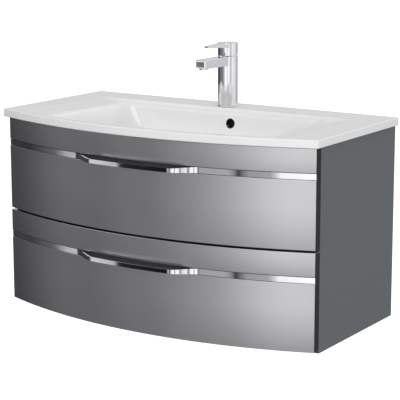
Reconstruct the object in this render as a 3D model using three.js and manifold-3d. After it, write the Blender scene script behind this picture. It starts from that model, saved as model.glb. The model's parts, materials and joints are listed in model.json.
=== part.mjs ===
// Wall-hung bathroom vanity: a two-drawer cabinet with bowed fronts, a cast basin with a bowed front
// edge, a single-lever basin mixer, and the waste and trap behind the drawers.
// Millimetres, +X to the right of someone facing it, +Y into the wall, +Z up. While it is modelled,
// z = 0 is the top of the cabinet and y = 0 is the wall. The exported group lifts it all by half the
// height of the rear top rail, so that the origin is the middle of that rail's back face.
import * as THREE from "three";
import { mergeVertices } from "three/addons/utils/BufferGeometryUtils.js";
import Module from "manifold-3d";

const wasm = await Module();
wasm.setup();

// Driving dimensions: the cabinet
const cabinetWidth = 900;
const cabinetHeight = 488;
const sideDepth = 380; // wall to the front edge of a side panel
const board = 16; // carcass board
const seam = 0.3; // gap that fixed pieces keep where they meet
const railHeight = 100; // rear top rail
const lowRailHeight = 76; // rear bottom rail
const bottomRaise = 8; // underside of the bottom panel above the lower ends of the sides
const crossRailDepth = 60; // flat rail between the two drawers

// Driving dimensions: the bowed fronts
const frontThickness = 19;
const frontGap = 1.1; // side panel to the back of a front at its ends
const frontBow = 86.4; // how far the middle of a front stands before its ends
const topReveal = 2; // below the basin
const middleReveal = 5.2; // between the fronts
const bottomReveal = 7; // lower ends of the sides below the lower front
const bandHeight = 57; // above the handle groove
const grooveHeight = 16;
const grooveDepth = 5;
const arcSteps = 28; // straight pieces in a bowed edge

// Driving dimensions: the handle strips
const stripHeight = 14;
const stripThickness = 3.6;
const gripHalf = 182; // where the strip starts to leave the groove, from the middle
const gripCurve = 72; // length of the S-bend at each end of the grip
const gripReach = 25; // grip before the rest of the strip

// Driving dimensions: the drawers
const drawerBoard = 12;
const drawerBottomBoard = 8;
const drawerRearGap = 42; // wall to the back of a drawer
const runnerGap = 13; // carcass side to drawer side
const boxRise = 8.8; // drawer side above the lower edge of its front
const bottomRise = 6; // drawer bottom above the lower edge of its sides
const panelGroove = 6; // depth of the groove that holds the drawer bottom
const boxClearance = 10; // between a drawer box and what is above it
const surroundHalf = 90; // half the clear width round the waste pipe
const surroundWall = 4;
const surroundFront = 46; // clear length before the waste pipe's axis

// Driving dimensions: the ball runners
const runnerLength = 350;
const runnerHeight = 35;
const runnerSheet = 1.2;
const ballGap = 0.9; // between the members
const runnerSetback = 8; // front end of a runner behind the front edge of the side

// Driving dimensions: the basin
const basinOverhang = 10; // past each side of the cabinet
const basinEndOverhang = 11.4; // before the ends of the fronts
const basinMiddleOverhang = 12; // before the middle of the fronts
const basinEdge = 20;
const basinWall = 12;
const rimRounding = 2.5;
const rimSide = 72; // flat rim beside the bowl
const shelfSide = 83; // gentle slope between that rim and the bowl
const shelfDrop = 7;
const deckDepth = 96; // flat deck behind the bowl
const rimFront = 20;
const frontSplay = 20; // how much wider the bowl is at the front, each side
const overflowX = 33;
const overflowZ = -18;
const overflowRadius = 13;
const drainY = -255;

// Driving dimensions: the mixer tap
const tapY = -64;
const tapRadius = 25.5;
const tapBodyTop = 151;
const tapTop = 185;
const spoutReach = 129; // from the tap's axis
const spoutWidth = 30;
const spoutHeight = 21.5;
const leverReach = 102; // from the tap's axis
const capGap = 1.5; // below the lever's cap
const capCutAngle = 22; // degrees, the slope under the back of the cap that lets it tip
const tapHoleRadius = 17.5;

// Driving dimensions: waste and trap
const wasteRadius = 20.5;
const pipeRadius = 15;
const pipeWall = 1.6;
const fitGap = 0.5; // a pipe in its socket
const trapY = -96;
const trapRadius = 29;
const trapBottom = -262;
const outletZ = -224;
const bend = 20; // radius of the pipe's centre line

// What follows from them
const halfWidth = cabinetWidth / 2;
const insideHalf = halfWidth - board;
const basinHalf = halfWidth + basinOverhang;
const frontRadius = bowRadius(halfWidth, frontBow);
const frontBackEnd = Math.sqrt((frontRadius - frontThickness) ** 2 - halfWidth ** 2);
const frontSideY = sideDepth + frontGap + frontRadius - frontBow - frontBackEnd;
const basinSideDepth = frontSideY + basinEndOverhang;
const basinBow = frontBow + basinMiddleOverhang - basinEndOverhang;
const frontHeight = (cabinetHeight - topReveal - middleReveal - bottomReveal) / 2;
const upperTop = -topReveal;
const upperBottom = upperTop - frontHeight;
const lowerTop = upperBottom - middleReveal;
const lowerBottom = lowerTop - frontHeight;
const boxHalf = insideHalf - runnerGap; // outer face of a drawer side
const bowlHalf = basinHalf - rimSide - shelfSide;
const bowlFloor = -84;
const drainTop = bowlFloor - 5.7; // seat of the waste flange
const bossBottom = bowlFloor - 38;
const wasteEnd = bossBottom - 24;
const ductFloor = bowlFloor - 26; // inside the overflow duct, under the bowl
const ductWall = 5;
const ductLow = ductFloor - ductWall;

// ---- Solids ----

// A closed geometry as a manifold solid.
function solid(geometry) {
  const bare = geometry.clone();
  bare.deleteAttribute("normal");
  bare.deleteAttribute("uv");
  const merged = mergeVertices(bare, 1e-4);
  return new wasm.Manifold(
    new wasm.Mesh({
      numProp: 3,
      vertProperties: new Float32Array(merged.attributes.position.array),
      triVerts: new Uint32Array(merged.index.array),
    }),
  );
}

// A manifold solid as a geometry that three.js can draw.
function geometryOf(body) {
  const mesh = body.getMesh();
  const points = new Float32Array(mesh.numVert * 3);
  for (let i = 0; i < mesh.numVert; i++) {
    points.set(mesh.vertProperties.subarray(i * mesh.numProp, i * mesh.numProp + 3), i * 3);
  }
  const indexed = new THREE.BufferGeometry();
  indexed.setAttribute("position", new THREE.BufferAttribute(points, 3));
  indexed.setIndex(new THREE.BufferAttribute(new Uint32Array(mesh.triVerts), 1));
  const geometry = indexed.toNonIndexed();
  geometry.computeVertexNormals();
  return geometry;
}

function block(x0, x1, y0, y1, z0, z1) {
  const geometry = new THREE.BoxGeometry(x1 - x0, y1 - y0, z1 - z0);
  geometry.translate((x0 + x1) / 2, (y0 + y1) / 2, (z0 + z1) / 2);
  return solid(geometry);
}

// A round bar along Z, X or Y, from one end to the other.
function bar(radius, from, to, a, b, axis = "z", sides = 32) {
  const geometry = new THREE.CylinderGeometry(radius, radius, to - from, sides);
  geometry.translate(0, (from + to) / 2, 0);
  if (axis === "z") {
    geometry.rotateX(Math.PI / 2);
    geometry.translate(a, b, 0);
  } else {
    geometry.translate(a, 0, b);
  }
  return solid(geometry);
}

// A ring about a vertical axis.
function ring(outer, inner, z0, z1, x, y, sides = 32) {
  return bar(outer, z0, z1, x, y, "z", sides).subtract(bar(inner, z0 - 1, z1 + 1, x, y));
}

// A plan outline, given as [x, y] points, raised from z0 to z1.
function raise(outline, z0, z1) {
  const shape = new THREE.Shape(outline.map(([x, y]) => new THREE.Vector2(x, y)));
  const geometry = new THREE.ExtrudeGeometry(shape, { depth: z1 - z0, bevelEnabled: false });
  geometry.translate(0, 0, z0);
  return solid(geometry);
}

// A section in X and Z, given as [x, z] points, run along Y.
function run(section, y0, y1) {
  const shape = new THREE.Shape(section.map(([x, z]) => new THREE.Vector2(x, z)));
  const geometry = new THREE.ExtrudeGeometry(shape, { depth: y1 - y0, bevelEnabled: false });
  geometry.rotateX(Math.PI / 2);
  geometry.translate(0, y1, 0);
  return solid(geometry);
}

// A side view in Y and Z, given as [y, z] points, run along X.
function slab(profile, x0, x1) {
  const shape = new THREE.Shape(profile.map(([y, z]) => new THREE.Vector2(y, z)));
  const geometry = new THREE.ExtrudeGeometry(shape, { depth: x1 - x0, bevelEnabled: false });
  geometry.rotateY(Math.PI / 2);
  geometry.rotateX(Math.PI / 2);
  geometry.translate(x0, 0, 0);
  return solid(geometry);
}

// A closed skin through rings of points, which all have as many points, from the lowest ring up.
function loft(rings, bottomCentre, topCentre) {
  const count = rings[0].length;
  const points = [...rings.flat(), bottomCentre, topCentre];
  const bottom = points.length - 2;
  const top = points.length - 1;
  const last = (rings.length - 1) * count;
  const faces = [];
  for (let i = 0; i < count; i++) {
    const next = (i + 1) % count;
    faces.push(bottom, next, i, top, last + i, last + next);
    for (let level = 0; level < last; level += count) {
      faces.push(level + i, level + next, level + count + next);
      faces.push(level + i, level + count + next, level + count + i);
    }
  }
  const geometry = new THREE.BufferGeometry();
  geometry.setAttribute("position", new THREE.Float32BufferAttribute(points.flat(), 3));
  geometry.setIndex(faces);
  return solid(geometry);
}

function join(...bodies) {
  return bodies.reduce((sum, next) => sum.add(next));
}

function mirrored(body) {
  return body.mirror([1, 0, 0]);
}

// ---- The bow ----

// Radius of the arc that rises by `bow` over a chord of twice `half`.
function bowRadius(half, bow) {
  return (half * half + bow * bow) / (2 * bow);
}

// Distance from the wall, at x, of the line that lies `inset` behind a bowed edge.
function bowedEdge(x, half, sideY, bow, inset = 0) {
  const radius = bowRadius(half, bow);
  const inner = radius - inset;
  return sideY - (radius - bow) + Math.sqrt(inner * inner - x * x);
}

function frontFace(x, inset = 0) {
  return -bowedEdge(x, halfWidth, frontSideY, frontBow, inset);
}

function basinFront(x, inset = 0) {
  return -bowedEdge(x, basinHalf, basinSideDepth, basinBow, inset);
}

// Points of a curve y = edge(x) from x0 to x1.
function along(edge, x0, x1, steps = arcSteps) {
  return Array.from({ length: steps + 1 }, (_, i) => {
    const x = x0 + ((x1 - x0) * i) / steps;
    return [x, edge(x)];
  });
}

// Everything behind the bowed line that lies `inset` behind the face of the fronts.
function behindFront(inset, z0, z1) {
  const line = along((x) => frontFace(x, inset), -halfWidth, halfWidth);
  return raise([...line, [halfWidth, 1], [-halfWidth, 1]], z0, z1);
}

// ---- Looks ----

const finishes = {
  front: { color: 0x8b8b90, roughness: 0.28, metalness: 0.75 },
  carcass: { color: 0x63676a, roughness: 0.55, metalness: 0 },
  drawer: { color: 0x6b6e71, roughness: 0.6, metalness: 0 },
  chrome: { color: 0xd4d6d9, roughness: 0.08, metalness: 1 },
  steel: { color: 0xb4b7ba, roughness: 0.4, metalness: 1 },
  castStone: { color: 0xf1f1f0, roughness: 0.15, metalness: 0 },
  plastic: { color: 0xe6e6e3, roughness: 0.45, metalness: 0 },
  greyPlastic: { color: 0x8e9194, roughness: 0.5, metalness: 0 },
  rubber: { color: 0x1d1e20, roughness: 0.8, metalness: 0 },
  brass: { color: 0xb8964e, roughness: 0.35, metalness: 1 },
};

const vanity = new THREE.Group();
vanity.position.z = railHeight / 2;

function piece(name, finish, body) {
  const mesh = new THREE.Mesh(geometryOf(body), new THREE.MeshStandardMaterial(finishes[finish]));
  mesh.name = name;
  vanity.add(mesh);
}

// The same piece at the left and, mirrored, at the right.
function pair(before, after, finish, rightBody) {
  piece(`${before}right_${after}`, finish, rightBody);
  piece(`${before}left_${after}`, finish, mirrored(rightBody));
}

// ---- Carcass ----

const hangerWidth = 20;
const hangerNotch = { width: 44, height: 82 };

function addCarcass() {
  const inner = insideHalf - seam;
  pair("", "side_panel", "carcass", block(insideHalf, halfWidth, -sideDepth, 0, -cabinetHeight, -seam));

  const bottomLow = -cabinetHeight + bottomRaise;
  const bottomHigh = bottomLow + board;
  piece("bottom_panel", "carcass", block(-inner, inner, -sideDepth + 1, 0, bottomLow, bottomHigh));

  const notch = block(inner - hangerNotch.width, inner + 1, -board - 1, 1, -hangerNotch.height, 1);
  const rail = block(-inner, inner, -board, 0, -railHeight, -seam);
  piece("rear_top_rail", "carcass", rail.subtract(notch).subtract(mirrored(notch)));

  const lowRail = bottomHigh + seam;
  piece("rear_bottom_rail", "carcass", block(-inner, inner, -board, 0, lowRail, lowRail + lowRailHeight));

  const middle = (upperBottom + lowerTop) / 2;
  const railLow = middle - board / 2;
  const crossFront = -sideDepth + 1;
  const cross = block(-inner, inner, crossFront, crossFront + crossRailDepth, railLow, railLow + board);
  piece("front_cross_rail", "carcass", cross);
}

// A hanger is screwed to the inside of each side panel. Its hook drops into the channel of a plate
// that is fixed to the wall.
function addHangers() {
  const plate = { width: 38, low: -78, high: -22, sheet: 2.5, ledge: -44, lip: 9, lipTop: -36 };
  const outer = insideHalf - seam;
  const inner = outer - hangerWidth;
  const body = block(inner, outer, -84, -12, -70, -12);
  const hookOut = -3;
  const hookIn = -plate.lip + plate.sheet + 0.5;
  const arm = block(inner + 3, outer - 3, -20, hookOut, plate.lipTop + 0.5, plate.lipTop + 8);
  const tooth = block(inner + 3, outer - 3, hookIn, hookOut, plate.ledge + 0.6, plate.lipTop + 2);
  const screws = [-24, -56].map((z) => bar(3, -86, -80, outer - hangerWidth / 2, z, "y", 16));
  pair("", "hanger", "steel", join(body, arm, tooth).subtract(screws[0]).subtract(screws[1]));

  const x0 = outer - plate.width;
  const x1 = outer - 1;
  const back = block(x0, x1, -plate.sheet, 0, plate.low, plate.high);
  const ledge = block(x0, x1, -plate.lip, -plate.sheet + 0.1, plate.ledge - plate.sheet, plate.ledge);
  const lip = block(x0, x1, -plate.lip, -plate.lip + plate.sheet, plate.ledge - 0.1, plate.lipTop);
  const hole = bar(3.5, -5, 5, (x0 + x1) / 2, -64, "y", 20);
  pair("", "wall_plate", "steel", join(back, ledge, lip).subtract(hole));
}

// ---- Runners ----

// A C-section whose web is at `web` and whose flanges end at `open`, both measured in X.
function channel(web, open, height, z) {
  const turn = Math.sign(open - web);
  const inside = web + turn * runnerSheet;
  const high = height / 2;
  const low = high - runnerSheet;
  const section = [
    [web, -high], [open, -high], [open, -low], [inside, -low],
    [inside, low], [open, low], [open, high], [web, high],
  ].map(([x, dz]) => [x, z + dz]);
  return turn > 0 ? section : section.reverse();
}

function addRunners(level, z) {
  const y0 = -sideDepth + runnerSetback;
  const y1 = y0 + runnerLength;
  const wall = insideHalf - seam;
  const drawer = boxHalf + seam;
  const step = 2 * (runnerSheet + ballGap);
  const outer = run(channel(wall, drawer + 3.2, runnerHeight, z), y0, y1);
  const middle = run(channel(wall - 2.3, drawer + 2.3, runnerHeight - step, z), y0 + 1, y1);
  const inner = run(channel(drawer, wall - 4.9, runnerHeight - 2 * step, z), y0 + 2, -drawerRearGap);
  pair(`${level}_`, "outer_runner", "steel", outer);
  pair(`${level}_`, "middle_runner", "steel", middle);
  pair(`${level}_`, "drawer_runner", "steel", inner);
}

// ---- Drawers ----

function front(top, bottom) {
  const outer = along((x) => frontFace(x), -halfWidth, halfWidth);
  const inner = along((x) => frontFace(x, frontThickness), halfWidth, -halfWidth);
  const beyond = along((x) => frontFace(x) - 1, -halfWidth - 1, halfWidth + 1);
  const floor = along((x) => frontFace(x, grooveDepth), halfWidth + 1, -halfWidth - 1);
  const grooveTop = top - bandHeight;
  const groove = raise([...beyond, ...floor], grooveTop - grooveHeight, grooveTop);
  return raise([...outer, ...inner], bottom, top).subtract(groove);
}

// How far the handle strip stands before its place in the groove, at x.
function gripOffset(x) {
  const t = THREE.MathUtils.smoothstep(gripHalf - Math.abs(x), 0, gripCurve);
  return gripReach * t;
}

function handle(top) {
  const middle = top - bandHeight - grooveHeight / 2;
  const end = halfWidth - 2;
  const stations = [
    ...along(() => 0, -end, -gripHalf, 8),
    ...along(() => 0, -gripHalf, gripCurve - gripHalf, 14).slice(1),
    ...along(() => 0, gripCurve - gripHalf, gripHalf - gripCurve, 10).slice(1),
    ...along(() => 0, gripHalf - gripCurve, gripHalf, 14).slice(1),
    ...along(() => 0, gripHalf, end, 8).slice(1),
  ].map(([x]) => x);
  const back = (x) => frontFace(x, grooveDepth - seam) - gripOffset(x);
  const path = stations.map((x) => new THREE.Vector2(x, back(x)));
  const outside = path.map((p, i) => {
    const before = path[Math.max(i - 1, 0)];
    const after = path[Math.min(i + 1, path.length - 1)];
    const tangent = after.clone().sub(before).normalize();
    return [p.x + tangent.y * stripThickness, p.y - tangent.x * stripThickness];
  });
  const inside = path.map((p) => [p.x, p.y]).reverse();
  return raise([...outside, ...inside], middle - stripHeight / 2, middle + stripHeight / 2);
}

function drawerSide(low, high) {
  const rear = -drawerRearGap;
  const side = block(boxHalf - drawerBoard, boxHalf, -sideDepth - frontBow, rear, low, high);
  const slotLow = low + bottomRise;
  const slotOuter = boxHalf - drawerBoard + panelGroove;
  const slot = block(
    boxHalf - drawerBoard - 1, slotOuter, -sideDepth - frontBow - 1, rear + 1,
    slotLow - seam, slotLow + drawerBottomBoard + seam,
  );
  return side.subtract(slot).intersect(behindFront(frontThickness + seam, low - 1, high + 1));
}

function drawerBottom(low) {
  const half = boxHalf - drawerBoard + panelGroove - seam;
  const rear = -drawerRearGap - drawerBoard - seam;
  const z0 = low + bottomRise;
  const sheet = block(-half, half, -sideDepth - frontBow, rear, z0, z0 + drawerBottomBoard);
  return sheet.intersect(behindFront(frontThickness + seam, z0 - 1, z0 + drawerBottomBoard + 1));
}

const upperLow = upperBottom + boxRise;
const upperHigh = ductLow - boxClearance / 2;
const lowerLow = lowerBottom + boxRise + 16;
const lowerHigh = trapBottom - 2 * boxClearance;

function addUpperDrawer() {
  piece("upper_front", "front", front(upperTop, upperBottom));
  piece("upper_handle", "chrome", handle(upperTop));
  pair("upper_", "side", "drawer", drawerSide(upperLow, upperHigh));

  const outer = surroundHalf + surroundWall;
  const rear = -drawerRearGap;
  const front0 = drainY - surroundFront;
  const inside = boxHalf - drawerBoard - seam;
  const back = block(outer + seam, inside, rear - drawerBoard, rear, upperLow, upperHigh);
  pair("upper_", "back", "drawer", back);

  const floorTop = upperLow + bottomRise + drawerBottomBoard;
  const hole = block(-surroundHalf, surroundHalf, front0, 1, upperLow - 1, floorTop + 1);
  piece("upper_bottom", "drawer", drawerBottom(upperLow).subtract(hole));

  const whole = block(-outer, outer, front0 - surroundWall, rear, floorTop + seam, upperHigh);
  const clear = block(-surroundHalf, surroundHalf, front0, 1, floorTop - 1, upperHigh + 1);
  piece("upper_pipe_surround", "greyPlastic", whole.subtract(clear));
}

function addLowerDrawer() {
  piece("lower_front", "front", front(lowerTop, lowerBottom));
  piece("lower_handle", "chrome", handle(lowerTop));
  pair("lower_", "side", "drawer", drawerSide(lowerLow, lowerHigh));
  const rear = -drawerRearGap;
  const inside = boxHalf - drawerBoard - seam;
  const back = block(-inside, inside, rear - drawerBoard, rear, lowerLow, lowerHigh);
  piece("lower_back", "drawer", back);
  piece("lower_bottom", "drawer", drawerBottom(lowerLow));
}

// ---- Basin ----

// One level of the bowl: its corners are round, its front follows the basin's bowed edge.
function bowlRing(level, grow) {
  const { z, back, half, splay, inset, corner } = level;
  const radius = corner + grow;
  const backHalf = half + grow;
  const frontHalf = backHalf + splay;
  const backY = back + grow;
  const edge = (x) => basinFront(x, inset - grow);
  const reach = frontHalf - radius;
  const tilt = Math.asin(reach / bowRadius(basinHalf, basinBow));
  const end = reach + radius * Math.sin(tilt);
  const cornerSteps = 6;
  const points = [];
  const arc = (cx, cy, from, to) => {
    for (let i = 0; i <= cornerSteps; i++) {
      const angle = from + ((to - from) * i) / cornerSteps;
      points.push([cx + radius * Math.cos(angle), cy + radius * Math.sin(angle), z]);
    }
  };
  const quarter = Math.PI / 2;
  arc(-(backHalf - radius), backY - radius, quarter, 2 * quarter);
  const cornerX = end - radius * Math.sin(tilt);
  const cornerY = edge(end) + radius * Math.cos(tilt);
  arc(-cornerX, cornerY, 2 * quarter, 3 * quarter - tilt);
  for (const [x, y] of along(edge, -end, end, 16).slice(1, -1)) points.push([x, y, z]);
  arc(cornerX, cornerY, 3 * quarter + tilt, 4 * quarter);
  arc(backHalf - radius, backY - radius, 4 * quarter, 5 * quarter);
  return points;
}

// Levels of the bowl's inside, from the floor up. `back` is the back wall's y, `half` the half
// width at the back, and `inset` how far the front wall lies behind the basin's front edge.
function bowlLevels() {
  const deck = -deckDepth;
  const rimHalf = basinHalf - rimSide;
  const crest = basinEdge - shelfDrop;
  return [
    { z: bowlFloor, back: deck - 58, half: bowlHalf - 80, splay: 6, inset: 122, corner: 56 },
    { z: bowlFloor + 5, back: deck - 42, half: bowlHalf - 62, splay: 8, inset: 106, corner: 58 },
    { z: bowlFloor + 14, back: deck - 28, half: bowlHalf - 48, splay: 11, inset: 93, corner: 58 },
    { z: bowlFloor + 34, back: deck - 16, half: bowlHalf - 33, splay: 14, inset: 78, corner: 52 },
    { z: bowlFloor + 58, back: deck - 9, half: bowlHalf - 22, splay: 16, inset: 66, corner: 44 },
    { z: 0, back: deck - 4.5, half: bowlHalf - 9, splay: 18, inset: 53, corner: 36 },
    { z: crest - 5, back: deck - 2.6, half: bowlHalf - 3.5, splay: frontSplay - 1, inset: 44, corner: 32 },
    { z: crest, back: deck - 2, half: bowlHalf + 4, splay: frontSplay, inset: 36, corner: 28 },
    { z: crest + 0.9, back: deck - 1.8, half: bowlHalf + 14, splay: frontSplay, inset: 34, corner: 26 },
    { z: basinEdge, back: deck, half: rimHalf, splay: 0, inset: rimFront, corner: 14 },
    { z: basinEdge + 2, back: deck + 0.6, half: rimHalf + 23, splay: 0, inset: rimFront - 4, corner: 14 },
  ];
}

// A flat strip from one plan point to another, raised from z0 to z1.
function strip(from, to, half, z0, z1) {
  const a = new THREE.Vector2(...from);
  const b = new THREE.Vector2(...to);
  const side = b.clone().sub(a).normalize().multiplyScalar(half);
  const outline = [
    [a.x + side.y, a.y - side.x], [b.x + side.y, b.y - side.x],
    [b.x - side.y, b.y + side.x], [a.x - side.y, a.y + side.x],
  ];
  return raise(outline, z0, z1);
}

function basinPlate() {
  const shape = new THREE.Shape();
  const r = rimRounding;
  const half = basinHalf - r;
  const corner = 5;
  const edge = (x) => basinFront(x, r);
  shape.moveTo(half, -r);
  shape.lineTo(-half, -r);
  shape.lineTo(-half, edge(half) + corner);
  for (const [x, y] of along(edge, -half + corner, half - corner)) shape.lineTo(x, y);
  shape.lineTo(half, edge(half) + corner);
  shape.closePath();
  const geometry = new THREE.ExtrudeGeometry(shape, {
    depth: basinEdge - 2 * r, bevelSize: r, bevelThickness: r, bevelSegments: 3,
  });
  geometry.translate(0, 0, r);
  return solid(geometry);
}

function addBasin() {
  const levels = bowlLevels();
  const floorCentre = [0, drainY, bowlFloor - 2.5];
  const cavity = loft(levels.map((l) => bowlRing(l, 0)), floorCentre, [0, drainY, basinEdge + 2]);
  const below = levels.filter((l) => l.z <= 0).map((l) => ({ ...l, z: l.z - basinWall }));
  const skin = [...below, { ...below[below.length - 1], z: 1 }];
  const centreLow = [0, drainY, bowlFloor - basinWall - 2.5];
  const shell = loft(skin.map((l) => bowlRing(l, basinWall)), centreLow, [0, drainY, 1]);

  // The overflow runs down a duct behind the bowl and along under it to the waste.
  const ductHalf = 11;
  const drop = [overflowX, -deckDepth + 5];
  const ductTop = overflowZ + overflowRadius - 1;
  const boss = bar(40, bossBottom, bowlFloor - 4, 0, drainY);
  const upright = block(
    drop[0] - ductHalf - ductWall, drop[0] + ductHalf + ductWall,
    drop[1] - 12, drop[1] + 11, ductLow, 1,
  );
  const underDuct = strip(
    [drop[0], drop[1] + 11], [0, drainY], ductHalf + ductWall, ductLow, bowlFloor - 5,
  );
  const outside = join(basinPlate(), shell, boss, upright, underDuct).subtract(cavity);

  const uprightHollow = block(
    drop[0] - ductHalf, drop[0] + ductHalf, drop[1] - 3, drop[1] + 6, ductFloor, ductTop,
  );
  const underHollow = strip([drop[0], drop[1] + 6], [0, drainY], ductHalf, ductFloor, ductFloor + 10);
  const mouth = bar(overflowRadius, -deckDepth - 30, drop[1] + 4, overflowX, overflowZ, "y");
  const wasteHole = bar(23, bossBottom - 1, bowlFloor, 0, drainY);
  const wasteSeat = bar(33, drainTop, bowlFloor + 2, 0, drainY);
  const tapHole = bar(tapHoleRadius, -1, basinEdge + 1, 0, tapY);
  const cuts = [uprightHollow, underHollow, mouth, wasteHole, wasteSeat, tapHole];
  piece("basin", "castStone", cuts.reduce((body, cut) => body.subtract(cut), outside));
}

// ---- Tap ----

const baseRingHeight = 3;

function addTapBody() {
  const base = basinEdge + seam + baseRingHeight + seam;
  const column = bar(tapRadius, base, tapBodyTop, 0, tapY, "z", 48);
  const tip = tapY - spoutReach;
  const low = tapBodyTop - spoutHeight;
  const arm = slab([
    [tapY, tapBodyTop], [tip + 2, tapBodyTop], [tip, tapBodyTop - 2],
    [tip, low + 2], [tip + 2, low], [tapY, low - 3],
  ], -spoutWidth / 2, spoutWidth / 2);
  const cartridgeSeat = bar(19.3, 112, tapBodyTop + 1, 0, tapY);
  const waterway = bar(6, tip + 14, tapY, 0, low + 9, "y", 16);
  const aeratorSeat = bar(11.3, low - 1, low + 12, 0, tip + 15);
  const feeds = [-8.5, 8.5].map((x) => bar(4, base + 12, 114, x, tapY - 5, "z", 16));
  const inletSeats = [-8.5, 8.5].map((x) => bar(5.8, base - 1, base + 12.1, x, tapY - 5, "z", 20));
  const studSeat = bar(4.3, base - 1, base + 14, 0, tapY + 10, "z", 16);
  const cuts = [cartridgeSeat, waterway, aeratorSeat, ...feeds, ...inletSeats, studSeat];
  piece("tap_body", "chrome", cuts.reduce((body, cut) => body.subtract(cut), join(column, arm)));

  const ringLow = basinEdge + seam;
  const ringTop = ringLow + baseRingHeight;
  piece("tap_base_ring", "chrome", ring(tapRadius + 1.5, tapHoleRadius, ringLow, ringTop, 0, tapY));
  const aerator = ring(11, 8, low - 4, low + 11, 0, tip + 15);
  const mesh = bar(8.2, low + 2, low + 6, 0, tip + 15);
  piece("tap_aerator", "chrome", join(aerator, mesh));

  const cartridge = bar(18.8, 112.4, 140, 0, tapY);
  piece("tap_cartridge", "plastic", cartridge);
  piece("tap_cartridge_nut", "brass", ring(18.8, 12.4, 140.4, 149.5, 0, tapY));
}

// What holds the tap under the deck: a stud, a half-moon washer and a nut. The water inlets pass
// through the same hole.
function addTapFixing() {
  const base = basinEdge + 2 * seam + baseRingHeight;
  const studY = tapY + 10;
  piece("tap_stud", "steel", bar(4, -52, base + 13, 0, studY, "z", 16));
  const washerTop = -seam;
  const moon = bar(21, washerTop - 3, washerTop, 0, tapY).subtract(
    block(-30, 30, tapY - 30, tapY + 2, washerTop - 4, washerTop + 1),
  );
  piece("tap_washer", "steel", moon.subtract(bar(4.6, -5, 1, 0, studY)));
  const nutTop = washerTop - 3 - seam;
  piece("tap_nut", "brass", ring(7.5, 4.3, nutTop - 9, nutTop, 0, studY, 6));
  for (const [name, x] of [["hot_inlet", -8.5], ["cold_inlet", 8.5]]) {
    const tail = join(
      bar(5.4, base + 1, base + 11.6, x, tapY - 5, "z", 20),
      bar(4.6, -44, base + 2, x, tapY - 5, "z", 20),
      bar(6.6, -58, -42, x, tapY - 5, "z", 6),
    );
    piece(name, "brass", tail.subtract(bar(3, -59, base + 12, x, tapY - 5, "z", 16)));
  }
}

function addTapLever() {
  const low = tapBodyTop + capGap;
  const collar = ring(12, 8, 141.2, 146, 0, tapY);
  piece("tap_swivel_collar", "plastic", collar);
  piece("tap_spindle", "brass", bar(4.5, 141.5, 173.4, 0, tapY, "z", 16));

  const cap = bar(tapRadius, low, tapTop, 0, tapY, "z", 48);
  const tip = tapY - leverReach;
  const blade = slab([
    [tapY, tapTop - 0.5], [tapY, tapTop - 12], [tapY - 30, tapTop - 10.5],
    [tip, tapTop - 5.5], [tip, tapTop - 1.2],
  ], -tapRadius, tapRadius);
  const plan = raise([
    [-17, tapY], [-15.5, tapY - 26], [-5.8, tip + 1], [-4.8, tip],
    [4.8, tip], [5.8, tip + 1], [15.5, tapY - 26], [17, tapY],
  ], low, tapTop);
  const hollow = bar(21.5, low - 1, 166, 0, tapY);
  const socket = bar(4.8, 165, 174, 0, tapY, "z", 16);
  const rise = Math.tan(THREE.MathUtils.degToRad(capCutAngle));
  const far = tapY + tapRadius + 2;
  const wedge = slab([
    [tapY + 2, low], [tapY + 2, low - 2], [far, low - 2], [far, low + (far - tapY - 2) * rise],
  ], -40, 40);
  const lever = join(cap, blade.intersect(plan)).subtract(hollow).subtract(socket).subtract(wedge);
  piece("tap_lever", "chrome", lever);
}

// ---- Waste and trap ----

function addWaste() {
  const flange = bar(31.5, drainTop + seam, drainTop + 3, 0, drainY);
  const tube = bar(wasteRadius, wasteEnd, drainTop + 2, 0, drainY);
  const bore = bar(wasteRadius - 3.5, wasteEnd - 1, drainTop + 4, 0, drainY);
  const window = block(-7, 7, drainY - 30, drainY + 30, ductFloor, ductFloor + 10);
  const bridgeHalf = wasteRadius - 1;
  const bridge = block(-bridgeHalf, bridgeHalf, drainY - 2, drainY + 2, drainTop - 10, drainTop - 6);
  const guide = bar(5, drainTop - 16, drainTop - 5, 0, drainY, "z", 20);
  const guideHole = bar(3.4, drainTop - 17, drainTop - 4, 0, drainY, "z", 20);
  const cross = join(bridge, guide).subtract(guideHole);
  const body = join(flange, tube).subtract(bore).subtract(window).add(cross);
  piece("waste_body", "chrome", body);

  const lift = drainTop + 9;
  const cap = bar(28, lift, lift + 3, 0, drainY, "z", 40);
  const stem = bar(3, drainTop - 20, lift + 1, 0, drainY, "z", 16);
  const lens = lensCap(26, 3.4, lift + 2.9);
  piece("waste_plug", "chrome", join(cap, stem, lens));

  piece("waste_seal", "rubber", ring(36, 21.4, bossBottom - 3.3, bossBottom - seam, 0, drainY));
  const nutTop = bossBottom - 3.3 - seam;
  piece("waste_nut", "greyPlastic", ring(37, wasteRadius + 0.4, nutTop - 11, nutTop, 0, drainY, 6));
}

// A shallow dome of the given radius and rise that stands at z.
function lensCap(radius, rise, z) {
  const profile = [[0, 0], [radius, 0], [radius * 0.8, rise * 0.4], [radius * 0.5, rise * 0.76], [0, rise]];
  const points = profile.map(([r, h]) => new THREE.Vector2(r, h));
  const geometry = new THREE.LatheGeometry(points, 40);
  geometry.rotateX(Math.PI / 2);
  geometry.translate(0, drainY, z);
  return solid(geometry);
}

// A pipe along a smooth path of [y, z] points in the middle plane.
function pipe(path, radius, wall, steps) {
  const points = path.map(([y, z]) => new THREE.Vector3(0, y, z));
  const curve = new THREE.CatmullRomCurve3(points, false, "centripetal");
  const tube = (r) => {
    const section = new THREE.Shape();
    section.absarc(0, 0, r, 0, 2 * Math.PI);
    return section;
  };
  const shape = tube(radius);
  shape.holes.push(tube(radius - wall));
  return solid(new THREE.ExtrudeGeometry(shape, { steps, curveSegments: 8, extrudePath: curve }));
}

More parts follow.
